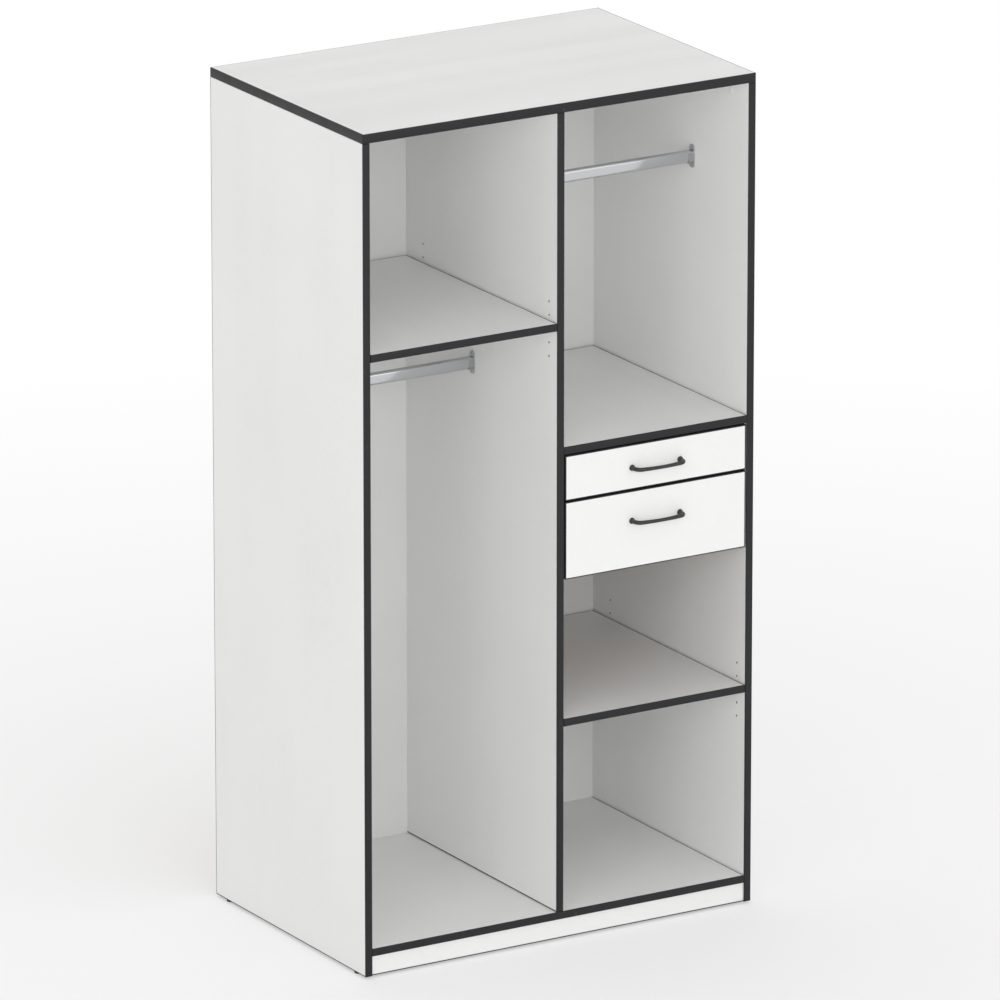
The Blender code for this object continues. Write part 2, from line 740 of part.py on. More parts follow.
def drawer(name, top, front_height, box_height, handle_drop):
    bottom = top - front_height
    edge = bottom + BOX_LIFT
    low_x = CENTRE_FACE + DRAWER_GAP
    high_x = SIDE_FACE - DRAWER_GAP
    middle_x = (low_x + high_x) / 2
    slide = bpy.data.objects.new(f"{name}_drawer_slide", None)
    parts.objects.link(slide)
    slide.location = (middle_x, FRONT, (top + bottom) / 2)

    outer_low = CENTRE_FACE + RUNNER_SPACE
    outer_high = SIDE_FACE - RUNNER_SPACE
    inner_low = outer_low + BOX_BOARD
    inner_high = outer_high - BOX_BOARD
    base_low = edge + BOX_BASE_LIFT
    base_high = base_low + BOX_BASE
    reach = BOX_GROOVE - FIT

    face = board(
        f"{name}_drawer_front", (low_x, FRONT, bottom), (high_x, FRONT + BOARD, top),
        parent=slide,
    )
    cut_boxes(face, "groove", [(
        (inner_low - BOX_GROOVE, FRONT + BOARD - BOX_GROOVE, base_low - FIT),
        (inner_high + BOX_GROOVE, FRONT + BOARD + OVERRUN, base_high + FIT),
    )])
    for hand, low, high, mouth, deep in (
        ("left", outer_low, inner_low, inner_low + OVERRUN, inner_low - BOX_GROOVE),
        ("right", inner_high, outer_high, inner_high - OVERRUN, inner_high + BOX_GROOVE),
    ):
        wall = board(
            f"{name}_drawer_side_{hand}",
            (low, BOX_START, edge), (high, BOX_END, edge + box_height), parent=slide,
        )
        cut_boxes(wall, "groove", [(
            (min(mouth, deep), BOX_START - OVERRUN, base_low - FIT),
            (max(mouth, deep), BOX_END + OVERRUN, base_high + FIT),
        )])
    board(
        f"{name}_drawer_back",
        (inner_low + FIT, BOX_END - BOX_BOARD, base_high + FIT),
        (inner_high - FIT, BOX_END, edge + box_height),
        parent=slide,
    )
    board(
        f"{name}_drawer_base",
        (inner_low - reach, FRONT + BOARD - reach, base_low),
        (inner_high + reach, BOX_END, base_high),
        BACK_WHITE, slide, rounding=0,
    )
    handle(f"{name}_drawer_handle", middle_x, FRONT, top - handle_drop, slide)
    for side in (-1, 1):
        runner(name, side, edge, slide)
    return bottom


def drawers():
    top = DRAWER_SHELF_TOP - BOARD - DRAWER_GAP
    for name, front_height, box_height, handle_drop in DRAWERS:
        top = drawer(name, top, front_height, box_height, handle_drop) - DRAWER_GAP


def glide_places():
    return (FRONT + GLIDE_INSET, REAR - GLIDE_INSET)


def glides():
    profile = [
        (0, GLIDE_HEIGHT + GLIDE_NAIL),
        (GLIDE_NAIL_RADIUS, GLIDE_HEIGHT + GLIDE_NAIL),
        (GLIDE_NAIL_RADIUS, GLIDE_HEIGHT),
        (GLIDE_RADIUS, GLIDE_HEIGHT),
        (GLIDE_RADIUS, GLIDE_CHAMFER),
        (GLIDE_RADIUS - GLIDE_CHAMFER, 0),
        (0, 0),
    ]
    for hand, side in (("left", -1), ("right", 1)):
        for row, y in zip(("front", "rear"), glide_places()):
            x = side * (WIDTH / 2 - BOARD / 2)
            turned(f"glide_{row}_{hand}", profile, (x, y, 0), (0, 0, 1), BORE_SIDES, PLASTIC)


def centre_foot():
    top = FLOOR_UNDERSIDE - FIT
    profile = [
        (0, top),
        (FOOT_PLATE_RADIUS, top),
        (FOOT_PLATE_RADIUS, top - FOOT_PLATE),
        (FOOT_STEM_RADIUS, top - FOOT_PLATE),
        (FOOT_STEM_RADIUS, FOOT_BASE),
        (FOOT_RADIUS, FOOT_BASE / 2),
        (FOOT_RADIUS, 0),
        (0, 0),
    ]
    turned("centre_foot", profile, (0, 0, 0), (0, 0, 1), TURNED_SIDES, PLASTIC)


clear_scene()
parts = make_collection("wardrobe")
cutters = make_collection("cutters")
carcass()
shelf("shelf_left", LEFT_BAY, LEFT_SHELF_TOP, SHELF_SIDE_GAP)
shelf("shelf_over_drawers", RIGHT_BAY, DRAWER_SHELF_TOP, FIT)
shelf("shelf_lower_right", RIGHT_BAY, LOWER_SHELF_TOP, SHELF_SIDE_GAP)
shelf_pins("left_shelf_pin", LEFT_BAY, LEFT_SHELF_TOP)
shelf_pins("lower_shelf_pin", RIGHT_BAY, LOWER_SHELF_TOP)
rail("left_rail", LEFT_BAY, LEFT_RAIL_PLACE)
rail("right_rail", RIGHT_BAY, RIGHT_RAIL_PLACE)
drawers()
glides()
centre_foot()
bpy.context.view_layer.update()
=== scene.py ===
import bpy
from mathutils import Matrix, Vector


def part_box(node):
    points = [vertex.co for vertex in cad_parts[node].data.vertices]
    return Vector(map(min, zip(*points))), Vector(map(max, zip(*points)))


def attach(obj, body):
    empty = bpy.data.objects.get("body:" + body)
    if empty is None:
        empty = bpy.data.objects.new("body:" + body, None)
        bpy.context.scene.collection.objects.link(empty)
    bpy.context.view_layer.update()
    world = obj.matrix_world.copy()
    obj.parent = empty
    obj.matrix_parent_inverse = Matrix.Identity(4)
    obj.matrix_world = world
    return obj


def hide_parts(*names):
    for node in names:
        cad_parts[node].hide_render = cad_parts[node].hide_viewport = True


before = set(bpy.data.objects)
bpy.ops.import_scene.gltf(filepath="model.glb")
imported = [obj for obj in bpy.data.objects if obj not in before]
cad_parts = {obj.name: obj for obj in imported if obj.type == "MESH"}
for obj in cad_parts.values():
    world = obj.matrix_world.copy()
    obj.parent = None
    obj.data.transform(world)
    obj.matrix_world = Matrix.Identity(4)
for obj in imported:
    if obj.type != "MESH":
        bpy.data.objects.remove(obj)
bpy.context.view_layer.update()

import math

import bmesh
import bpy
from mathutils import Matrix, Vector

scene = bpy.context.scene
print("wardrobe loaded:", len(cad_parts), "pieces")


# Camera, seen from the front left and a little above
viewpoint = {
    "place": (-13.02, -21.599, 8.718),
    "turn": 31.17,        # degrees to the right of straight ahead
    "tilt": 17.09,        # degrees downwards
    "lens": 415.96, "sensor": 36.0, "near": 0.1, "far": 200.0,
}


def setCamera():
    data = bpy.data.cameras.new("viewpoint")
    data.lens = viewpoint["lens"]
    data.sensor_width = viewpoint["sensor"]
    data.clip_start = viewpoint["near"]
    data.clip_end = viewpoint["far"]
    camera = bpy.data.objects.new("viewpoint", data)
    camera.location = viewpoint["place"]
    camera.rotation_euler = (math.radians(90 - viewpoint["tilt"]), 0, -math.radians(viewpoint["turn"]))
    scene.collection.objects.link(camera)
    scene.camera = camera


setCamera()
print("camera set")


class Wire:
    # One socket of a node tree, so that a pattern is written as a sum
    def __init__(self, tree, socket=None):
        self.tree = tree
        self.socket = socket

    def node(self, kind, settings, sockets, output=0):
        made = self.tree.nodes.new(kind)
        for name, value in settings.items():
            setattr(made, name, value)
        for name, value in sockets.items():
            if isinstance(value, Wire):
                self.tree.links.new(value.socket, made.inputs[name])
            else:
                made.inputs[name].default_value = value
        return Wire(self.tree, made.outputs[output]) if made.outputs else made

    def sum(self, operation, *values):
        return self.node("ShaderNodeMath", {"operation": operation}, dict(enumerate(values)))

    def __add__(self, other):
        return self.sum("ADD", self, other)

    __radd__ = __add__

    def __sub__(self, other):
        return self.sum("SUBTRACT", self, other)

    def __rsub__(self, other):
        return self.sum("SUBTRACT", other, self)

    def __mul__(self, other):
        return self.sum("MULTIPLY", self, other)

    __rmul__ = __mul__


def asColour(value):
    return value if isinstance(value, Wire) else (*value, 1.0)


def blend(mask, first, second):
    # Sockets 6 and 7 of a Mix node are its two colours and output 2 is the result
    return mask.node(
        "ShaderNodeMix", {"data_type": "RGBA", "clamp_factor": True},
        {0: mask, 6: asColour(first), 7: asColour(second)}, 2,
    )


def spread(mask, low, high):
    # low where the mask is 0 and high where it is 1
    return low + (high - low) * mask


def between(value, low, high):
    # 0 under low, 1 over high and a ramp from one to the other
    return value.node(
        "ShaderNodeMapRange", {"clamp": True},
        {"Value": value, "From Min": low, "From Max": high, "To Min": 0.0, "To Max": 1.0},
    )


def ripple(value):
    return value.sum("SINE", value)


def component(vector, axis):
    return vector.node("ShaderNodeSeparateXYZ", {}, {"Vector": vector}, axis)


def facing(place, axis):
    # How far the surface looks along an axis, from -1 to 1
    return component(place.node("ShaderNodeNewGeometry", {}, {}, "Normal"), axis)


def grain(place, scale, detail=2.0, stretch=(1, 1, 1), rough=0.5):
    # Cloudy noise between 0 and 1, drawn out where stretch is small
    moved = place.node("ShaderNodeMapping", {}, {"Vector": place, "Scale": stretch})
    return place.node(
        "ShaderNodeTexNoise", {}, {"Vector": moved, "Scale": scale, "Detail": detail, "Roughness": rough},
    )


def clouds(place, scale, edge=(0.3, 0.7)):
    return between(grain(place, scale, detail=3.0), *edge)


def relief(height, deep):
    return height.node("ShaderNodeBump", {}, {"Height": height, "Strength": 1.0, "Distance": deep})


def newFinish(name, fixed, paint):
    # fixed holds the shader's constant sockets; paint gives the ones that vary
    material = bpy.data.materials.new(name)
    material.use_nodes = True
    tree = material.node_tree
    shader = tree.nodes["Principled BSDF"]
    for socket, value in fixed.items():
        shader.inputs[socket].default_value = value
    place = Wire(tree).node("ShaderNodeTexCoord", {}, {}, "Object")
    for socket, value in paint(place).items():
        if isinstance(value, Wire):
            tree.links.new(value.socket, shader.inputs[socket])
        else:
            shader.inputs[socket].default_value = value
    return material


# In the finishes a scale counts waves in a metre, a depth is in metres, an edge is where a pattern starts
# and where it is full, rough is the roughness at 0 and at 1 of its pattern, and a tint is a colour's share

# White resin film on the boards, embossed with short pores that run along one axis; the pores are also tinted
# darker, which is painted shade in them
boardFilm = {
    "whites": ((0.845, 0.845, 0.836), (0.872, 0.872, 0.866)), "cloudScale": 2.3,
    "pore": (0.760, 0.758, 0.745), "poreShadeTint": 0.45, "poreDull": 0.10, "poreDepth": 0.00010,
    "poreScales": (1500.0, 70.0), "poreEdge": (0.56, 0.70),        # scales across and along the board
    "streakScales": (9.0, 0.6), "streakEdge": (0.40, 0.62), "poreOffStreak": 0.35,
    "rough": (0.42, 0.54), "peelScale": 900.0, "peelShare": 0.15,
}


def paintBoard(along):
    def stretched(scales):
        across, lengthways = scales
        return [lengthways if axis == along else across for axis in range(3)]

    def paint(place):
        drift = grain(place, 1.0, detail=3.0, stretch=stretched(boardFilm["streakScales"]), rough=0.6)
        streaks = between(drift, *boardFilm["streakEdge"])
        dashes = grain(place, 1.0, detail=1.0, stretch=stretched(boardFilm["poreScales"]))
        pores = between(dashes, *boardFilm["poreEdge"]) * spread(streaks, boardFilm["poreOffStreak"], 1.0)
        peel = grain(place, boardFilm["peelScale"])
        white = blend(clouds(place, boardFilm["cloudScale"]), *boardFilm["whites"])
        # the pores' darker tint is painted shade in the sunk pores
        return {
            "Base Color": blend(pores * boardFilm["poreShadeTint"], white, boardFilm["pore"]),
            "Roughness": spread(streaks, *boardFilm["rough"]) + boardFilm["poreDull"] * pores,
            "Normal": relief(boardFilm["peelShare"] * peel - pores, boardFilm["poreDepth"]),
        }
    return paint


# Dark plastic edging, scuffed in patches
edgeStrip = {
    "dark": (0.014, 0.0145, 0.016), "scuff": (0.075, 0.077, 0.082), "scuffTint": 0.8,
    "scuffScale": 46.0, "scuffEdge": (0.60, 0.74), "patchScale": 9.0, "patchEdge": (0.45, 0.7),
    "rough": (0.36, 0.50), "roughScale": 20.0, "fineScale": 1400.0, "fineDepth": 0.00003,
}


def paintEdge(place):
    scuffs = between(grain(place, edgeStrip["scuffScale"], detail=6.0, rough=0.75), *edgeStrip["scuffEdge"])
    patches = clouds(place, edgeStrip["patchScale"], edgeStrip["patchEdge"])
    return {
        "Base Color": blend(scuffs * patches * edgeStrip["scuffTint"], edgeStrip["dark"], edgeStrip["scuff"]),
        "Roughness": spread(clouds(place, edgeStrip["roughScale"]), *edgeStrip["rough"]),
        "Normal": relief(grain(place, edgeStrip["fineScale"]), edgeStrip["fineDepth"]),
    }


# Bare chips in bores and grooves
chipboard = {
    "browns": ((0.200, 0.120, 0.062), (0.560, 0.420, 0.260)), "chipScale": 900.0,
    "rough": (0.75, 0.95), "fibreScale": 400.0, "depth": 0.0002,
}


def paintChipboard(place):
    sockets = {"Vector": place, "Scale": chipboard["chipScale"]}
    chips = place.node("ShaderNodeTexVoronoi", {"feature": "F1"}, sockets, "Color")
    tone = chips.node("ShaderNodeSeparateColor", {}, {"Color": chips})
    return {
        "Base Color": blend(tone, *chipboard["browns"]),
        "Roughness": spread(tone, *chipboard["rough"]),
        "Normal": relief(tone + grain(place, chipboard["fibreScale"], detail=3.0), chipboard["depth"]),
    }


# The rough back of pressed board keeps the mesh of the screen it was pressed on
hardboard = {
    "browns": ((0.185, 0.108, 0.058), (0.330, 0.212, 0.126)), "toneEdge": (0.36, 0.64),
    "fibreScale": 420.0, "fibreStretch": (1, 1, 0.5), "blotchScale": 16.0, "blotchShare": 0.14,
    "rough": (0.72, 0.90), "screenPitch": 0.0016, "screenShare": 0.35, "depth": 0.00012,
}


def paintHardboard(place):
    turn = 2 * math.pi / hardboard["screenPitch"]
    screen = ripple(component(place, 0) * turn) * ripple(component(place, 2) * turn)
    fibre = grain(place, hardboard["fibreScale"], detail=6.0, stretch=hardboard["fibreStretch"], rough=0.75)
    blotch, share = grain(place, hardboard["blotchScale"], detail=4.0), hardboard["blotchShare"]
    tone = between(fibre * (1 - share) + blotch * share, *hardboard["toneEdge"])
    return {
        "Base Color": blend(tone, *hardboard["browns"]),
        "Roughness": spread(fibre, *hardboard["rough"]),
        "Normal": relief(fibre + hardboard["screenShare"] * screen, hardboard["depth"]),
    }


# White lacquer with orange peel
lacquer = {
    "whites": ((0.800, 0.800, 0.788), (0.836, 0.836, 0.826)), "cloudScale": 3.1,
    "rough": (0.42, 0.56), "roughScale": 12.0, "peelScale": 520.0, "peelDepth": 0.00003,
}


def paintLacquer(place):
    return {
        "Base Color": blend(clouds(place, lacquer["cloudScale"]), *lacquer["whites"]),
        "Roughness": spread(clouds(place, lacquer["roughScale"]), *lacquer["rough"]),
        "Normal": relief(grain(place, lacquer["peelScale"]), lacquer["peelDepth"]),
    }


# Chrome of the rails: hanger hooks leave fine lines along the top of the tube
chrome = {
    "colour": (0.560, 0.568, 0.585), "rough": (0.09, 0.14), "roughScale": 30.0, "topEdge": (0.2, 0.7),
    "lineScales": (9, 1500, 1500), "lineEdge": (0.52, 0.66), "lineDull": 0.22, "lineDepth": 0.000012,
}


def paintChrome(place):
    lines = grain(place, 1.0, detail=5.0, stretch=chrome["lineScales"], rough=0.7)
    worn = between(lines, *chrome["lineEdge"]) * between(facing(place, 2), *chrome["topEdge"])
    haze = grain(place, chrome["roughScale"], detail=3.0)
    return {
        "Base Color": asColour(chrome["colour"]),
        "Roughness": spread(haze, *chrome["rough"]) + chrome["lineDull"] * worn,
        "Normal": relief(worn, chrome["lineDepth"]),
    }


# Metals of the small parts
metals = {
    "zinc": {
        "colour": (0.480, 0.486, 0.500), "rough": (0.24, 0.38),
        "speckScale": 320.0, "speckEdge": (0.3, 0.7), "speckDepth": 0.00002,
    },
    "nickel": {
        "colour": (0.640, 0.620, 0.580), "rough": (0.16, 0.30),
        "speckScale": 500.0, "speckEdge": (0.3, 0.7), "speckDepth": 0.00002,
    },
}


def paintMetal(metal):
    def paint(place):
        speck = grain(place, metal["speckScale"], detail=3.0, rough=0.65)
        return {
            "Base Color": asColour(metal["colour"]),
            "Roughness": spread(between(speck, *metal["speckEdge"]), *metal["rough"]),
            "Normal": relief(speck, metal["speckDepth"]),
        }
    return paint


# Powder coat with orange peel, rubbed grey in long streaks where rollers run
epoxy = {
    "whites": ((0.800, 0.800, 0.780), (0.846, 0.846, 0.830)), "cloudScale": 6.0,
    "rubbed": (0.36, 0.36, 0.37), "rubTint": 0.35, "rubDull": 0.16,
    "rubScales": (900, 6, 900), "rubEdge": (0.55, 0.75),
    "rough": (0.30, 0.36), "roughScale": 40.0, "peelScale": 950.0, "peelDepth": 0.00004,
}


def paintEpoxy(place):
    streaks = between(grain(place, 1.0, detail=4.0, stretch=epoxy["rubScales"], rough=0.7), *epoxy["rubEdge"])
    white = blend(grain(place, epoxy["cloudScale"]), *epoxy["whites"])
    return {
        "Base Color": blend(streaks * epoxy["rubTint"], white, epoxy["rubbed"]),
        "Roughness": spread(grain(place, epoxy["roughScale"]), *epoxy["rough"]) + epoxy["rubDull"] * streaks,
        "Normal": relief(grain(place, epoxy["peelScale"]), epoxy["peelDepth"]),
    }


# Milky plastic of the rollers
nylon = {
    "whites": ((0.720, 0.715, 0.680), (0.800, 0.796, 0.765)), "cloudScale": 190.0, "cloudEdge": (0.35, 0.7),
    "rough": (0.38, 0.54), "roughScale": 300.0, "fineScale": 1600.0, "fineDepth": 0.00002,
}


def paintNylon(place):
    milk = between(grain(place, nylon["cloudScale"], detail=4.0), *nylon["cloudEdge"])
    return {
        "Base Color": blend(milk, *nylon["whites"]),
        "Roughness": spread(grain(place, nylon["roughScale"], detail=3.0), *nylon["rough"]),
        "Normal": relief(grain(place, nylon["fineScale"]), nylon["fineDepth"]),
    }


# Satin powder coat, polished by hands on the handle's most forward faces
satin = {
    "black": (0.017, 0.017, 0.019), "worn": (0.060, 0.060, 0.064), "wornTint": 0.5, "wornShine": 0.12,
    "wornScale": 130.0, "wornEdge": (0.48, 0.68), "forwardEdge": (0.55, 1.0),
    "rough": (0.40, 0.46), "roughScale": 500.0, "fineScale": 2200.0, "fineDepth": 0.00004,
}


def paintHandle(place):
    rubbed = between(grain(place, satin["wornScale"], detail=4.0, rough=0.7), *satin["wornEdge"])
    worn = between(0 - facing(place, 1), *satin["forwardEdge"]) * rubbed
    return {
        "Base Color": blend(worn * satin["wornTint"], satin["black"], satin["worn"]),
        "Roughness": spread(grain(place, satin["roughScale"]), *satin["rough"]) - satin["wornShine"] * worn,
        "Normal": relief(grain(place, satin["fineScale"]), satin["fineDepth"]),
    }


# Black plastic of the feet; the same finish is the painted shade in the screws' recesses
mouldingAndRecessShade = {
    "blacks": ((0.028, 0.028, 0.030), (0.05, 0.05, 0.052)), "cloudScale": 90.0,
    "rough": (0.48, 0.62), "roughScale": 220.0, "fineScale": 1500.0, "fineDepth": 0.00004,
}


def paintFootAndRecessShade(place):
    return {
        "Base Color": blend(grain(place, mouldingAndRecessShade["cloudScale"], detail=4.0), *mouldingAndRecessShade["blacks"]),
        "Roughness": spread(grain(place, mouldingAndRecessShade["roughScale"], detail=3.0), *mouldingAndRecessShade["rough"]),
        "Normal": relief(grain(place, mouldingAndRecessShade["fineScale"]), mouldingAndRecessShade["fineDepth"]),
    }


whiteBoards = [
    newFinish(f"whiteBoard{letter}", {"Specular IOR Level": 0.4}, paintBoard(along))
    for along, letter in enumerate("XYZ")
]
darkEdge = newFinish("darkEdge", {"Specular IOR Level": 0.3}, paintEdge)
rawChipboard = newFinish("rawChipboard", {"Specular IOR Level": 0.3}, paintChipboard)
rawHardboard = newFinish("rawHardboard", {"Specular IOR Level": 0.3}, paintHardboard)
whiteLacquer = newFinish("whiteLacquer", {"Specular IOR Level": 0.45}, paintLacquer)
railChrome = newFinish("railChrome", {"Metallic": 1.0}, paintChrome)
castZinc = newFinish("castZinc", {"Metallic": 1.0}, paintMetal(metals["zinc"]))
nickelPlate = newFinish("nickelPlate", {"Metallic": 1.0}, paintMetal(metals["nickel"]))
epoxySteel = newFinish("epoxySteel", {"Specular IOR Level": 0.5}, paintEpoxy)
rollerNylon = newFinish("rollerNylon", {"Specular IOR Level": 0.5}, paintNylon)
handleCoat = newFinish("handleCoat", {"Specular IOR Level": 0.5}, paintHandle)
footPlasticAndRecessShade = newFinish("footPlasticAndRecessShade", {"Specular IOR Level": 0.45}, paintFootAndRecessShade)
print("finishes mixed")


# Distances under which points count as one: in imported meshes, in made ones, at a cut and in slivers
welds = {"packed": 0.000002, "made": 0.000001, "cut": 0.0000001, "sliver": 0.00005}


def pieceName(node):
    first, *others = node.split("_")
    return first + "".join(word.title() for word in others)


def copyOf(node):
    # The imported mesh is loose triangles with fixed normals: its points are joined, its normals left free
    mesh = bmesh.new()
    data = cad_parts[node].data.copy()
    if "custom_normal" in data.attributes:
        data.attributes.remove(data.attributes["custom_normal"])
    mesh.from_mesh(data)
    bpy.data.meshes.remove(data)
    bmesh.ops.remove_doubles(mesh, verts=mesh.verts, dist=welds["packed"])
    return mesh


def put(name, mesh, looks, body, nodes=(), sharp=32):
    # sharp is the angle in degrees past which an edge isn't smoothed
    data = bpy.data.meshes.new(name)
    mesh.to_mesh(data)
    mesh.free()
    for look in looks:
        data.materials.append(look)
    data.shade_smooth()
    data.set_sharp_from_angle(angle=math.radians(sharp))
    piece = bpy.data.objects.new(name, data)
    scene.collection.objects.link(piece)
    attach(piece, body)
    if nodes:
        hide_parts(*nodes)


def join(mesh, part, look=0):
    # Adds a finished part to a piece's mesh, in one of the piece's finishes
    for face in part.faces:
        face.material_index = look
    data = bpy.data.meshes.new("part")
    part.to_mesh(data)
    part.free()
    mesh.from_mesh(data)
    bpy.data.meshes.remove(data)


def turned(profile, place, along, steps):
    # A lathe part: (radius, height) points spun round its axis, which starts at place
    part = bmesh.new()
    points = [part.verts.new((radius, 0, height)) for radius, height in profile]
    lines = [part.edges.new(pair) for pair in zip(points, points[1:])]
    bmesh.ops.spin(
        part, geom=points + lines, cent=(0, 0, 0), axis=(0, 0, 1), dvec=(0, 0, 0),
        angle=2 * math.pi, steps=steps, use_merge=True,
    )
    bmesh.ops.remove_doubles(part, verts=part.verts, dist=welds["made"])
    bmesh.ops.recalc_face_normals(part, faces=part.faces)
    axis = Vector(along)
    turn = Matrix.Identity(4) if axis.z == 1 else axis.to_track_quat("Z", "Y").to_matrix().to_4x4()
    bmesh.ops.transform(part, matrix=Matrix.Translation(place) @ turn, verts=part.verts)
    return part


cornerShare = 0.3        # how far a corner's middle point stays away from it, as a share of its rounding


def corner(radius, height, soft, up):
    # Profile points of a rounded corner, from the flat end to the rim
    mid = soft * cornerShare
    return [(radius - soft, height), (radius - mid, height + up * mid), (radius, height + up * soft)]


def block(low, high, soft, segments, chosen=None):
    # A box whose chosen edges, or all of them, are rounded
    low, high = Vector(low), Vector(high)
    part = bmesh.new()
    bmesh.ops.create_cube(
        part, size=1, matrix=Matrix.Translation((low + high) / 2) @ Matrix.Diagonal((*(high - low), 1)),
    )
    edges = [edge for edge in part.edges if chosen is None or chosen(*(vert.co for vert in edge.verts))]
    bmesh.ops.bevel(
        part, geom=edges, offset=soft, segments=segments, profile=0.5,
        affect="EDGES", material=-1, clamp_overlap=True,
    )
    return part


# Boards: white core, dark plastic edging glued round it
boards = {"edging": 0.003, "round": 0.0016, "roundSteps": 3, "inside": 0.0009, "sharp": 40}


def longest(low, high):
    return max(range(3), key=lambda index: high[index] - low[index])


def isHidden(face, low, high):
    # True in bores and grooves, whose faces lie inside the board's outer ones
    middle, margin = face.calc_center_median(), boards["inside"]
    return all(low[index] + margin < middle[index] < high[index] - margin for index in range(3))


def cutBack(mesh, axis, side, place):
    outward = Vector([side if index == axis else 0 for index in range(3)])
    cut = bmesh.ops.bisect_plane(
        mesh, geom=mesh.verts[:] + mesh.edges[:] + mesh.faces[:], dist=welds["cut"],
        plane_co=outward * side * place, plane_no=outward, clear_outer=True,
    )
    rim = [item for item in cut["geom_cut"] if isinstance(item, bmesh.types.BMEdge)]
    bmesh.ops.triangle_fill(mesh, edges=rim, use_beauty=True, use_dissolve=False, normal=outward)
    bmesh.ops.dissolve_degenerate(mesh, dist=welds["sliver"], edges=mesh.edges)


def dressBoard(node, edged, body="carcass"):
    # edged lists (axis, side) of the edges with edging; those on the first axis run past the others
    low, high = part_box(node)
    coreLow, coreHigh = low.copy(), high.copy()
    mesh = copyOf(node)
    for axis, side in edged:
        core = coreLow if side < 0 else coreHigh
        core[axis] -= side * boards["edging"]
        cutBack(mesh, axis, side, core[axis])
    for face in mesh.faces:
        face.material_index = 2 if isHidden(face, coreLow, coreHigh) else 0

    flat = min(range(3), key=lambda index: high[index] - low[index])
    leading = edged[0][0]
    for axis, side in edged:
        run = 3 - flat - axis        # the axis that this edge runs along
        bandLow, bandHigh = low.copy(), high.copy()
        if side < 0:
            outer, bandHigh[axis] = low[axis], coreLow[axis]
        else:
            outer, bandLow[axis] = high[axis], coreHigh[axis]
        if axis != leading:
            bandLow[run], bandHigh[run] = coreLow[run], coreHigh[run]

        def isRim(start, end):
            onFace = all(abs(point[axis] - outer) < welds["made"] for point in (start, end))
            return onFace and (axis == leading or abs(start[run] - end[run]) > welds["made"])

        join(mesh, block(bandLow, bandHigh, boards["round"], boards["roundSteps"], isRim), 1)
    looks = [whiteBoards[longest(low, high)], darkEdge, rawChipboard]
    put(pieceName(node), mesh, looks, body, [node], boards["sharp"])


uprightEdges = [(1, -1), (1, 1), (2, -1)]
lyingEdges = [(1, -1), (1, 1), (0, -1), (0, 1)]
frontEdges = [(2, -1), (2, 1), (0, -1), (0, 1)]
plinthEdges = [(2, -1)]
carcassBoards = {
    "left_side_panel": uprightEdges,
    "right_side_panel": uprightEdges,
    "centre_partition": uprightEdges,
    "top_panel": lyingEdges,
    "bottom_panel": lyingEdges,
    "shelf_left": lyingEdges,
    "shelf_over_drawers": lyingEdges,
    "shelf_lower_right": lyingEdges,
    "plinth_front": plinthEdges,
    "plinth_rear": plinthEdges,
}
for node, edged in carcassBoards.items():
    dressBoard(node, edged)
for name in ("upper", "lower"):
    dressBoard(f"{name}_drawer_front", frontEdges, f"{name}_drawer")
print("boards edged")


def thinPanel(node, axis, side, body="carcass"):
    # Pressed board, lacquered on the face that shows and brown on the other
    mesh = copyOf(node)
    for face in mesh.faces:
        shows = face.normal[axis] * side > 0.5
        face.material_index = 0 if shows else 1
    put(pieceName(node), mesh, [whiteLacquer, rawHardboard], body, [node])


def boxBoard(node, body):
    # A foil-wrapped drawer board, raw where the groove for the base is cut
    low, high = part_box(node)
    mesh = copyOf(node)
    for face in mesh.faces:
        face.material_index = 1 if isHidden(face, low, high) else 0
    put(pieceName(node), mesh, [whiteBoards[longest(low, high)], rawChipboard], body, [node])


thinPanel("back_panel_left", 1, -1)
thinPanel("back_panel_right", 1, -1)
for name in ("upper", "lower"):
    thinPanel(f"{name}_drawer_base", 2, 1, f"{name}_drawer")
    for part in ("side_left", "side_right", "back"):
        boxBoard(f"{name}_drawer_{part}", f"{name}_drawer")
print("backs and drawer boxes finished")


# Screws: a domed or flat head with a cross recess, drawn as a thin black cross on the head: painted shade,
# not a cut recess
screws = {
    "head": 0.0036, "slot": 0.0007, "arm": 0.0022, "recess": 0.0004, "proud": 0.00002, "soft": 0.0001,
    "seat": 0.0001, "steps": 20,
    "profile": ((1, 0.30), (0.82, 0.78), (0.45, 1), (0, 1)),        # shares of the head's radius and dome
}


def screwHead(mesh, place, along, radius, dome, look=0, dark=1):
    # look and dark are the finishes of the head and of its recess; dark is the black finish of a thin cross
    # that stands in for the recess's shade, painted shade
    place, axis, seat = Vector(place), Vector(along), screws["seat"]
    domed = [(radius * out, dome * up) for out, up in screws["profile"]]
    join(mesh, turned([(0, -seat), (radius, -seat), *domed], place, along, screws["steps"]), look)
    arm, slot = screws["arm"] * radius / screws["head"], screws["slot"] * radius / screws["head"]
    turn = axis.to_track_quat("Z", "Y").to_matrix().to_4x4()
    # a thin dark cross just proud of the head: painted shade where the recess would be
    for long, wide in ((arm, slot), (slot, arm)):
        cross = block((-long, -wide, -screws["recess"]), (long, wide, screws["proud"]), screws["soft"], 1)
        bmesh.ops.transform(
            cross, matrix=Matrix.Translation(place + axis * dome) @ turn, verts=cross.verts,
        )
        join(mesh, cross, dark)


def putScrews(name, mesh, body):
    # the second finish is black: the painted shade of the screws' recesses
    put(name, mesh, [nickelPlate, footPlasticAndRecessShade], body)


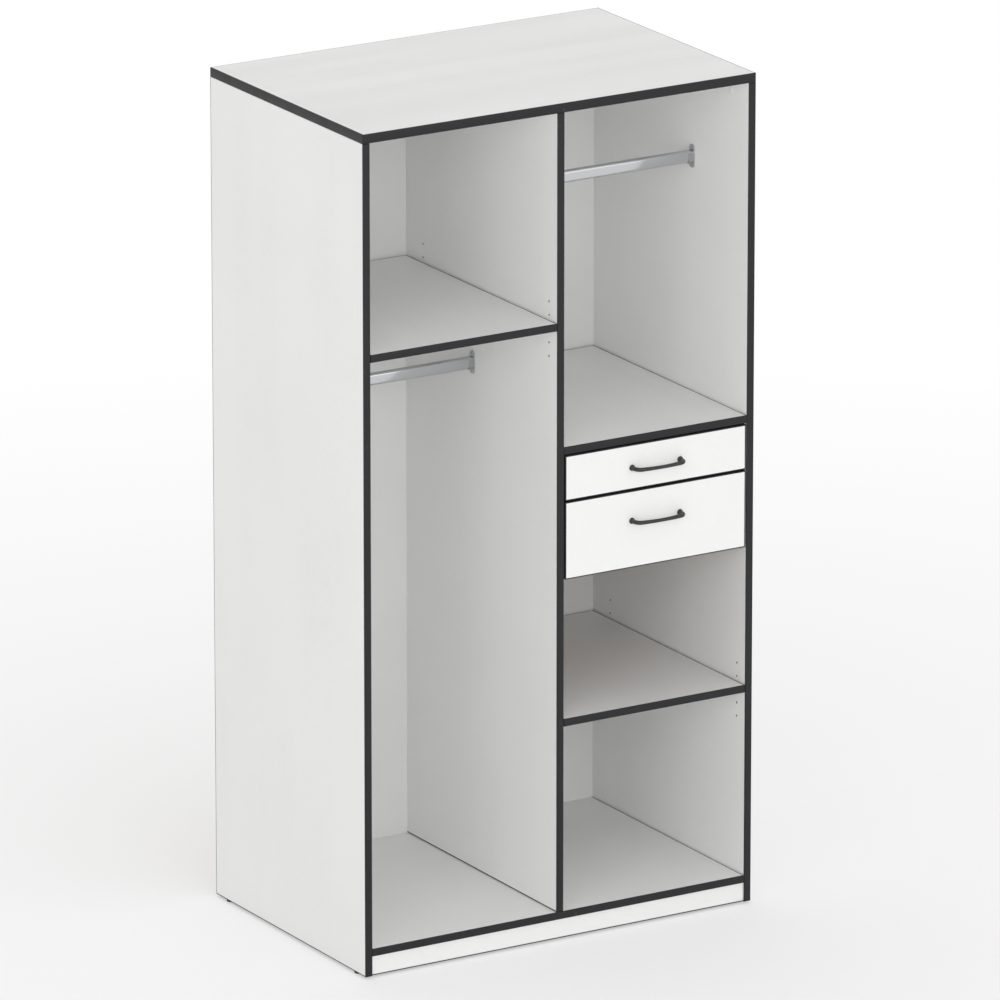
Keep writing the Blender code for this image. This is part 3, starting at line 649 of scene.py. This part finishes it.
# Hanging rails and their sockets
rails = {
    "segments": 40, "wall": 0.0012, "plate": 0.0025, "plateRound": 0.0008, "plateSteps": 3,
    "cupThick": 0.0153, "cupTall": 0.0303, "cupWall": 0.0020, "cupTop": 0.0095, "seat": 0.0003,
    "screwInset": 0.0055, "screwHead": 0.0030, "screwDome": 0.0007,
}


def ovalRing(part, thick, tall, filled):
    # An upright oval in the YZ plane: two half circles with straight sides
    steps = rails["segments"]
    turn = Matrix.Rotation(math.pi / 2, 4, "Y") @ Matrix.Rotation(math.pi / steps, 4, "Z")
    ring = bmesh.ops.create_circle(part, cap_ends=filled, segments=steps, radius=thick / 2, matrix=turn)
    for vert in ring["verts"]:
        vert.co.z += math.copysign((tall - thick) / 2, vert.co.z)
    return ring["verts"]


def drawOut(ring, long):
    # Extrudes the edges of a ring along X
    drawn = bmesh.ops.extrude_edge_only(ring, edges=ring.edges[:])["geom"]
    ends = [item for item in drawn if isinstance(item, bmesh.types.BMVert)]
    bmesh.ops.translate(ring, vec=(long, 0, 0), verts=ends)
    bmesh.ops.recalc_face_normals(ring, faces=ring.faces)


def hangingRail(node):
    low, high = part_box(node)
    tube = bmesh.new()
    ovalRing(tube, high.y - low.y, high.z - low.z, False)
    drawOut(tube, high.x - low.x)
    bmesh.ops.solidify(tube, geom=tube.faces[:], thickness=rails["wall"])
    bmesh.ops.translate(tube, vec=(low.x, (low.y + high.y) / 2, (low.z + high.z) / 2), verts=tube.verts)
    put(pieceName(node), tube, [railChrome], "carcass", [node])


def socketPlate(thick, tall):
    plate = bmesh.new()
    ovalRing(plate, thick, tall, True)
    drawn = bmesh.ops.extrude_face_region(plate, geom=plate.faces[:])["geom"]
    front = [item for item in drawn if isinstance(item, bmesh.types.BMFace)][0]
    bmesh.ops.translate(plate, vec=(rails["plate"], 0, 0), verts=front.verts[:])
    bmesh.ops.recalc_face_normals(plate, faces=plate.faces)
    bmesh.ops.bevel(
        plate, geom=front.edges[:], offset=rails["plateRound"], segments=rails["plateSteps"], profile=0.5,
        affect="EDGES", material=-1, clamp_overlap=True,
    )
    return plate


def socketCup(reach):
    # A wall round the rail's end, open at the top so that the rail drops in
    cup = bmesh.new()
    outerThick = rails["cupThick"] + 2 * rails["cupWall"]
    ring = ovalRing(cup, outerThick, rails["cupTall"] + 2 * rails["cupWall"], False)
    bmesh.ops.delete(cup, geom=[vert for vert in ring if vert.co.z > rails["cupTop"]], context="VERTS")
    start = rails["plate"] - rails["seat"]
    drawOut(cup, reach - start)
    for face in cup.faces:        # an open strip has no inside, so its lowest face tells
        if face.calc_center_median().z < -outerThick and face.normal.z > 0:
            bmesh.ops.reverse_faces(cup, faces=cup.faces[:])
            break
    bmesh.ops.solidify(cup, geom=cup.faces[:], thickness=rails["cupWall"])
    bmesh.ops.translate(cup, vec=(start, 0, 0), verts=cup.verts)
    return cup


def railSocket(node, inward):
    # A screwed plate with a rounded rim on the board, and the cup on it
    low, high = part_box(node)
    middle = (low + high) / 2
    mesh = bmesh.new()
    join(mesh, socketPlate(high.y - low.y, high.z - low.z))
    join(mesh, socketCup(high.x - low.x))
    up = (high.z - low.z) / 2 - rails["screwInset"]
    # the screws' recesses take the third, black finish: painted shade
    for height in (-up, up):
        place = (rails["plate"], 0, height)
        screwHead(mesh, place, (1, 0, 0), rails["screwHead"], rails["screwDome"], look=1, dark=2)
    turn = Matrix.Identity(4) if inward > 0 else Matrix.Rotation(math.pi, 4, "Z")
    face = low.x if inward > 0 else high.x
    bmesh.ops.transform(
        mesh, matrix=Matrix.Translation((face, middle.y, middle.z)) @ turn, verts=mesh.verts,
    )
    put(pieceName(node), mesh, [castZinc, nickelPlate, footPlasticAndRecessShade], "carcass", [node])


for bay in ("left", "right"):
    hangingRail(f"{bay}_rail")
    railSocket(f"{bay}_rail_socket_left", 1)
    railSocket(f"{bay}_rail_socket_right", -1)
print("rails hung")


# Shelf pins: a shank in the bore, a collar and a tongue with a flat for the shelf
pins = {
    "shank": 0.0025, "inBore": 0.0080, "shankTip": 0.0020, "shankTaper": 0.0006,
    "collar": 0.0045, "collarStart": 0.0003, "collarEnd": 0.0012,
    "tongue": 0.0040, "tongueTip": 0.0034, "tongueTaper": 0.0005, "flat": 0.0018, "steps": 32,
}


def shelfPin(node, inward):
    low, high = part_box(node)
    boreEnd = low.x if inward > 0 else high.x
    place = (boreEnd + inward * pins["inBore"], (low.y + high.y) / 2, high.z - pins["flat"])
    long = high.x - low.x - pins["inBore"]
    shank, collar, tongue, deep = pins["shank"], pins["collar"], pins["tongue"], -pins["inBore"]
    pin = turned([
        (0, long), (pins["tongueTip"], long), (tongue, long - pins["tongueTaper"]),
        (tongue, pins["collarEnd"]), (collar, pins["collarEnd"]), (collar, pins["collarStart"]),
        (shank, pins["collarStart"]), (shank, deep + pins["shankTaper"]), (pins["shankTip"], deep), (0, deep),
    ], place, (inward, 0, 0), pins["steps"])
    cutBack(pin, 2, 1, high.z)
    put(pieceName(node), pin, [nickelPlate], "carcass", [node])


for shelf in ("left", "lower"):
    for row in ("front", "rear"):
        shelfPin(f"{shelf}_shelf_pin_{row}_left", 1)
        shelfPin(f"{shelf}_shelf_pin_{row}_right", -1)
print("shelf pins pushed in")


# Bow handles: a tapered bar bent at both ends on two turned feet
handles = {
    "centres": 0.128, "radius": 0.0050, "reach": 0.030, "bend": 0.016, "bow": 0.004,
    "middle": 0.84, "taper": 1.5,        # share of the radius in the middle, and the power of the taper
    "inFoot": (0.001, 0.004), "bendSteps": 10, "bowSteps": 20, "round": 7, "sharp": 50,
    "foot": 0.00725, "footSteps": 40, "seat": 0.0003,
    "footProfile": ((1, 0), (1, 0.0016), (0.93, 0.0022), (0.80, 0.0025)),        # shares of foot, heights
    "neckProfile": ((1.08, 0.0034), (1.02, 0.0050), (0.99, 0.0060), (0, 0.0060)),        # shares of radius
    "screwHead": 0.0042, "screwDome": 0.0021,
}


def handleRoute(half):
    # (along, out) points of the bar's middle line from one foot to the other
    bend, bow = handles["bend"], handles["bow"]
    depth, flat = handles["reach"] - bow, half - bend
    route = [(half, out) for out in handles["inFoot"]]
    for step in range(handles["bendSteps"] + 1):
        angle = math.pi / 2 * step / handles["bendSteps"]
        route.append((half - bend * (1 - math.cos(angle)), depth - bend * (1 - math.sin(angle))))
    for step in range(1, handles["bowSteps"] // 2 + 1):
        along = flat * (1 - 2 * step / handles["bowSteps"])
        route.append((along, depth + bow * (1 - (along / flat) ** 2)))
    return route + [(-along, out) for along, out in reversed(route[:-1])]


def handleBar(node, middle, half):
    curve = bpy.data.curves.new(node, "CURVE")
    curve.dimensions = "3D"
    curve.bevel_depth = handles["radius"]
    curve.bevel_resolution = handles["round"]
    curve.use_fill_caps = True
    route = handleRoute(half)
    line = curve.splines.new("POLY")
    line.points.add(len(route) - 1)
    for point, (along, out) in zip(line.points, route):
        point.co = (middle.x + along, middle.y - out, middle.z, 1)
        share = min(1.0, abs(along) / half)
        point.radius = handles["middle"] + (1 - handles["middle"]) * share ** handles["taper"]
    bar = bpy.data.objects.new(node, curve)
    scene.collection.objects.link(bar)
    shape = bpy.data.meshes.new_from_object(bar.evaluated_get(bpy.context.evaluated_depsgraph_get()))
    bpy.data.objects.remove(bar)
    mesh = bmesh.new()
    mesh.from_mesh(shape)
    bpy.data.meshes.remove(shape)
    bmesh.ops.remove_doubles(mesh, verts=mesh.verts, dist=welds["made"])        # joins the end caps on
    bmesh.ops.recalc_face_normals(mesh, faces=mesh.faces)
    return mesh


def bowHandle(name):
    node, body = f"{name}_drawer_handle", f"{name}_drawer"
    low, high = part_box(node)
    frontLow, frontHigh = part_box(f"{name}_drawer_front")
    middle = Vector(((low.x + high.x) / 2, frontLow.y, (low.z + high.z) / 2))
    half = handles["centres"] / 2
    mesh = handleBar(node, middle, half)
    collar = [(handles["foot"] * share, up) for share, up in handles["footProfile"]]
    collar += [(handles["radius"] * share, up) for share, up in handles["neckProfile"]]
    screwed = bmesh.new()
    for side in (-1, 1):
        place = middle + Vector((side * half, -handles["seat"], 0))
        join(mesh, turned([(0, 0), *collar], place, (0, -1, 0), handles["footSteps"]))
        behind = (middle.x + side * half, frontHigh.y, middle.z)
        screwHead(screwed, behind, (0, 1, 0), handles["screwHead"], handles["screwDome"])
    put(pieceName(node), mesh, [handleCoat], body, [node], handles["sharp"])
    putScrews(f"{name}HandleScrews", screwed, body)


bowHandle("upper")
bowHandle("lower")
print("handles screwed on")


# Roller runners: flush screws hold the carcass member, domed ones the drawer member and the drawer's back
runners = {
    "steel": 0.0012, "gap": 0.0003, "rivet": 0.0042, "level": 0.999, "sharp": 35,
    "screws": 3, "screwInset": 0.060, "flushHead": 0.0021, "flushDome": 0.0005, "flushSunk": 0.0006,
    "memberHead": 0.0032, "memberDome": 0.0007, "memberUp": 0.01315,
    "boxHead": 0.0030, "boxDome": 0.0006, "boxInset": 0.006, "boxUp": 0.028, "boxDown": 0.022,
}
roller = {
    "radius": 0.0095, "width": 0.0060, "chamfer": 0.0008, "bore": 0.0021, "steps": 48,
    "groove": ((0.00725, 0.0002), (0.00685, 0.0012), (0.0062, 0.0012), (0.0058, 0.0002)),        # out, deep
    "sinkRadius": 0.0042, "sinkDepth": 0.0019,
}


def middleOf(node):
    low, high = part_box(node)
    return (low + high) / 2


def runnerSheet(node, body, axle):
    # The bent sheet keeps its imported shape; faces of its rivet are bare zinc
    mesh = copyOf(node)
    for face in mesh.faces:
        middle = face.calc_center_median()
        near = math.hypot(middle.y - axle.y, middle.z - axle.z) < runners["rivet"]
        onFlange = abs(face.normal.z) > runners["level"]
        face.material_index = 1 if near and not onFlange else 0
    put(pieceName(node), mesh, [epoxySteel, castZinc], body, [node], runners["sharp"])


def spunRoller(node, sunk):
    # sunk is the direction along X that its sunk face looks in
    low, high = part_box(node)
    middle = (low + high) / 2
    wide, rim, edge = roller["width"], roller["radius"], roller["chamfer"]
    bore, inner, floor = roller["bore"], roller["sinkRadius"], wide - roller["sinkDepth"]
    profile = [
        (bore, 0), *corner(rim, 0, edge, 1), *reversed(corner(rim, wide, edge, -1)),
        *[(radius, wide - deep) for radius, deep in roller["groove"]],
        (inner, wide), (inner, floor), (bore, floor), (bore, 0),
    ]
    start = low.x if sunk > 0 else high.x
    wheel = turned(profile, (start, middle.y, middle.z), (sunk, 0, 0), roller["steps"])
    put(pieceName(node), wheel, [rollerNylon], node, [node])


def screwRow(start, end):
    inset, last = runners["screwInset"], runners["screws"] - 1
    run = end - start - 2 * inset
    return [start + inset + run * index / last for index in range(runners["screws"])]


def channelScrews(name, hand, inward):
    low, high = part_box(f"{name}_carcass_runner_{hand}")
    web = low.x + runners["steel"] if inward > 0 else high.x - runners["steel"]
    screwed = bmesh.new()
    for y in screwRow(low.y, high.y):
        place = (web - inward * runners["flushSunk"], y, (low.z + high.z) / 2)
        screwHead(screwed, place, (inward, 0, 0), runners["flushHead"], runners["flushDome"])
    putScrews(f"{name}ChannelScrews{hand.title()}", screwed, "carcass")


def boxScrews(name, hand, inward):
    low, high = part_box(f"{name}_drawer_side_{hand}")
    wall = low.x if inward > 0 else high.x
    web = wall - inward * (runners["gap"] + runners["steel"])
    screwed = bmesh.new()
    for y in screwRow(low.y, high.y):
        place = (web, y, low.z + runners["memberUp"])
        screwHead(screwed, place, (-inward, 0, 0), runners["memberHead"], runners["memberDome"])
    for up in (runners["boxUp"], high.z - low.z - runners["boxDown"]):        # into the drawer's back
        place = (wall, high.y - runners["boxInset"], low.z + up)
        screwHead(screwed, place, (-inward, 0, 0), runners["boxHead"], runners["boxDome"])
    putScrews(f"{name}BoxScrews{hand.title()}", screwed, f"{name}_drawer")


def drawerRunners(name):
    for hand, inward in (("left", 1), ("right", -1)):
        front, rear = f"{name}_front_roller_{hand}", f"{name}_rear_roller_{hand}"
        runnerSheet(f"{name}_carcass_runner_{hand}", "carcass", middleOf(front))
        runnerSheet(f"{name}_drawer_runner_{hand}", f"{name}_drawer", middleOf(rear))
        spunRoller(front, inward)
        spunRoller(rear, -inward)
        channelScrews(name, hand, inward)
        boxScrews(name, hand, inward)


drawerRunners("upper")
drawerRunners("lower")
print("runners fitted")


# Caps over the cam fittings that draw the boards together
caps = {
    "radius": 0.0088, "dome": 0.0011, "seat": 0.0001, "steps": 40, "in": 0.034, "columns": (-0.262, 0.240),
    "profile": ((1, 0.45), (0.95, 0.8), (0.8, 1), (0.4, 1.08), (0, 1.1)),        # shares of radius and dome
}


def camCaps():
    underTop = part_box("top_panel")[0].z - caps["in"]
    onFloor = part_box("bottom_panel")[1].z + caps["in"]
    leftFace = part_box("left_side_panel")[1].x
    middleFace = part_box("centre_partition")[1].x
    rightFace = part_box("right_side_panel")[0].x
    rim, dome, seat = caps["radius"], caps["dome"], caps["seat"]
    profile = [(0, -seat), (rim, -seat)] + [(rim * out, dome * up) for out, up in caps["profile"]]
    spots = [
        (leftFace, 1, underTop), (rightFace, -1, underTop),
        (middleFace, 1, underTop), (middleFace, 1, onFloor),
    ]
    mesh = bmesh.new()
    for x, inward, z in spots:
        for y in caps["columns"]:
            join(mesh, turned(profile, (x, y, z), (inward, 0, 0), caps["steps"]))
    put("camCaps", mesh, [whiteLacquer], "carcass")


camCaps()
print("caps pressed on")


# Glides: a pad with a soft rim and a nail into the board's lower edge
glides = {"round": 0.0020, "nail": 0.0013, "gap": 0.0003, "steps": 40}


def glide(node):
    low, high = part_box(node)
    radius = (high.x - low.x) / 2
    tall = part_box("left_side_panel")[0].z - glides["gap"]
    soft, nail = glides["round"], glides["nail"]
    mid = soft * cornerShare
    place = ((low.x + high.x) / 2, (low.y + high.y) / 2, 0)
    mesh = turned([
        (0, 0), *corner(radius, 0, soft, 1),
        (radius, tall - mid), (radius - mid, tall), (nail, tall), (nail, high.z), (0, high.z),
    ], place, (0, 0, 1), glides["steps"])
    put(pieceName(node), mesh, [footPlasticAndRecessShade], "carcass", [node])


# Centre foot: a base, a stem with fins and the plate that is screwed under the floor board
foot = {
    "base": 0.0250, "baseThick": 0.0070, "rimTop": 0.0035, "shoulder": 0.00455, "stem": 0.0080,
    "plate": 0.0300, "plateThick": 0.0040, "soft": 0.0010, "steps": 48,
    "fins": 6, "finReach": 0.0190, "finThick": 0.0011, "finStart": 0.0056, "finSteps": 2,
    "screws": 3, "screwOut": 0.0240, "screwHead": 0.0038, "screwDome": 0.0012,
}


def mouldedFoot(node):
    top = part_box(node)[1].z
    under = top - foot["plateThick"]
    base, stem, plate, thick, soft = (foot[key] for key in ("base", "stem", "plate", "baseThick", "soft"))
    mesh = turned([
        (0, 0), (base - soft, 0), (base, soft), (base, foot["rimTop"]), (base - soft, foot["shoulder"]),
        (stem + soft, thick), (stem, thick + soft), (stem, under),
        (plate - soft / 2, under), (plate, under + soft / 2), (plate, top), (0, top),
    ], (0, 0, 0), (0, 0, 1), foot["steps"])
    for index in range(foot["fins"]):
        fin = block(
            (stem - soft, -foot["finThick"], foot["finStart"]),
            (foot["finReach"], foot["finThick"], under + soft / 2), soft / 3, foot["finSteps"],
        )
        for vert in fin.verts:        # the fins widen from the base to the plate
            if vert.co.x > stem and vert.co.z < top / 2:
                vert.co.x -= (foot["finReach"] - stem) / 2
        turn = Matrix.Rotation(2 * math.pi * index / foot["fins"], 4, "Z")
        bmesh.ops.transform(fin, matrix=turn, verts=fin.verts)
        join(mesh, fin)
    put(pieceName(node), mesh, [footPlasticAndRecessShade], "carcass", [node])

    screwed = bmesh.new()
    for index in range(foot["screws"]):        # between the fins, from below
        angle = 2 * math.pi * (index / foot["screws"] + 0.5 / foot["fins"])
        place = (foot["screwOut"] * math.cos(angle), foot["screwOut"] * math.sin(angle), under)
        screwHead(screwed, place, (0, 0, -1), foot["screwHead"], foot["screwDome"])
    putScrews("centreFootScrews", screwed, "carcass")


for row in ("front", "rear"):
    for hand in ("left", "right"):
        glide(f"glide_{row}_{hand}")
mouldedFoot("centre_foot")
print("feet on")


# Floor and light
studio = {
    "floor": 120.0, "floorColour": (0.93, 0.93, 0.93), "white": (1.0, 1.0, 1.0),
    "floorGlow": 0.45, "floorFade": (0.7, 4.5),        # the glow's share near by, and where it grows to 1
    "sky": 0.72, "aim": (0, 0, 0.9),
    "lamps": {        # place, width and height of the soft box, power
        "keyLamp": ((-6.6, -10.2, 4.4), (14.0, 7.0), 540.0),
        "fillLamp": ((2.0, -12.0, 3.2), (10.0, 5.0), 130.0),
        "rearLamp": ((3.0, 8.0, 7.0), (12.0, 8.0), 90.0),
    },
}


def lightlyLit(start):
    # 1 for what the camera sees straight, in a mirror or through glass
    camera, glossy, through = (
        start.node("ShaderNodeLightPath", {}, {}, f"Is {kind} Ray")
        for kind in ("Camera", "Glossy", "Transmission")
    )
    return camera.sum("MAXIMUM", camera, glossy.sum("MAXIMUM", glossy, through))


def layFloor():
    mesh = bmesh.new()
    bmesh.ops.create_grid(mesh, x_segments=1, y_segments=1, size=studio["floor"] / 2)
    data = bpy.data.meshes.new("studioFloor")
    mesh.to_mesh(data)
    mesh.free()
    floor = bpy.data.objects.new("studioFloor", data)
    scene.collection.objects.link(floor)
    material = bpy.data.materials.new("studioFloor")
    material.use_nodes = True
    tree = material.node_tree
    tree.nodes.clear()
    start = Wire(tree)
    place = start.node("ShaderNodeTexCoord", {}, {}, "Object")
    away = place.node("ShaderNodeVectorMath", {"operation": "LENGTH"}, {0: place}, "Value")
    share = spread(between(away, *studio["floorFade"]), studio["floorGlow"], 1.0)
    matt = start.node("ShaderNodeBsdfDiffuse", {}, {"Color": asColour(studio["floorColour"])})
    glow = start.node("ShaderNodeEmission", {}, {"Color": asColour(studio["white"]), "Strength": 1.0})
    mixed = start.node("ShaderNodeMixShader", {}, {0: lightlyLit(start) * share, 1: matt, 2: glow})
    start.node("ShaderNodeOutputMaterial", {}, {"Surface": mixed})
    data.materials.append(material)


def lightSky():
    world = bpy.data.worlds.new("studioSky")
    scene.world = world
    world.use_nodes = True
    tree = world.node_tree
    tree.nodes.clear()
    start = Wire(tree)
    strength = spread(lightlyLit(start), studio["sky"], 1.0)
    sky = start.node("ShaderNodeBackground", {}, {"Color": asColour(studio["white"]), "Strength": strength})
    start.node("ShaderNodeOutputWorld", {}, {"Surface": sky})


def softBox(name, place, size, power):
    data = bpy.data.lights.new(name, "AREA")
    data.shape = "RECTANGLE"
    data.size, data.size_y = size
    data.energy = power
    lamp = bpy.data.objects.new(name, data)
    lamp.location = place
    lamp.rotation_euler = (Vector(studio["aim"]) - Vector(place)).to_track_quat("-Z", "Y").to_euler()
    lamp.visible_camera = False
    scene.collection.objects.link(lamp)


layFloor()
lightSky()
for name, (place, size, power) in studio["lamps"].items():
    softBox(name, place, size, power)
scene.view_settings.view_transform = "Standard"
print("studio lit")
